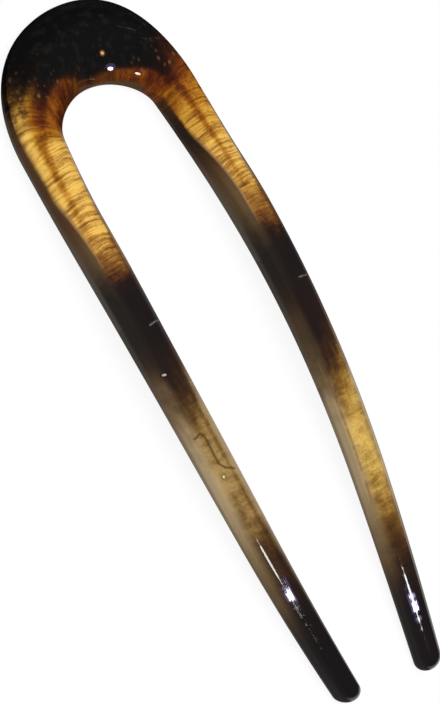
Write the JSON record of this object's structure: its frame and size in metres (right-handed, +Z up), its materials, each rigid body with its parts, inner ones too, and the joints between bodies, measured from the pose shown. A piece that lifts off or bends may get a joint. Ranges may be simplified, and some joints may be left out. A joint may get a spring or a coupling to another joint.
{
  "type": "u-shaped hair pin",
  "caption": "Glossy tortoiseshell U-shaped hair pin with a wide domed crown and tapering, gently arched springy legs that hold a bun or twist.",
  "frame": {"origin": "on the table, under the middle of the pin's box", "axes": "+X from the left leg to the right leg, +Y from the tips to the crown, +Z up, with the pin lying arch up"},
  "size_m": [0.0322, 0.1106, 0.0087],
  "materials": {
    "tortoiseshell_plastic": "polished pearl tortoiseshell, black to amber to gold, with a clear high gloss"
  },
  "bodies": {
    "crown": {"crown": "tortoiseshell_plastic"},
    "left_leg": {"left_leg": "tortoiseshell_plastic"},
    "right_leg": {"right_leg": "tortoiseshell_plastic"}
  },
  "joints": [
    {"name": "left_leg_flex", "type": "hinge", "parent": "crown", "child": "left_leg", "pos_m": [-0.01322, 0.00515, 0.00605], "axis": [0, -0.035, -0.9994], "range_deg": [-4, 5], "stiffness_Nm_per_rad": 1.6},
    {"name": "right_leg_flex", "type": "hinge", "parent": "crown", "child": "right_leg", "pos_m": [0.01327, 0.00515, 0.00605], "axis": [0, 0.035, 0.9994], "range_deg": [-4, 5], "stiffness_Nm_per_rad": 1.6}
  ]
}
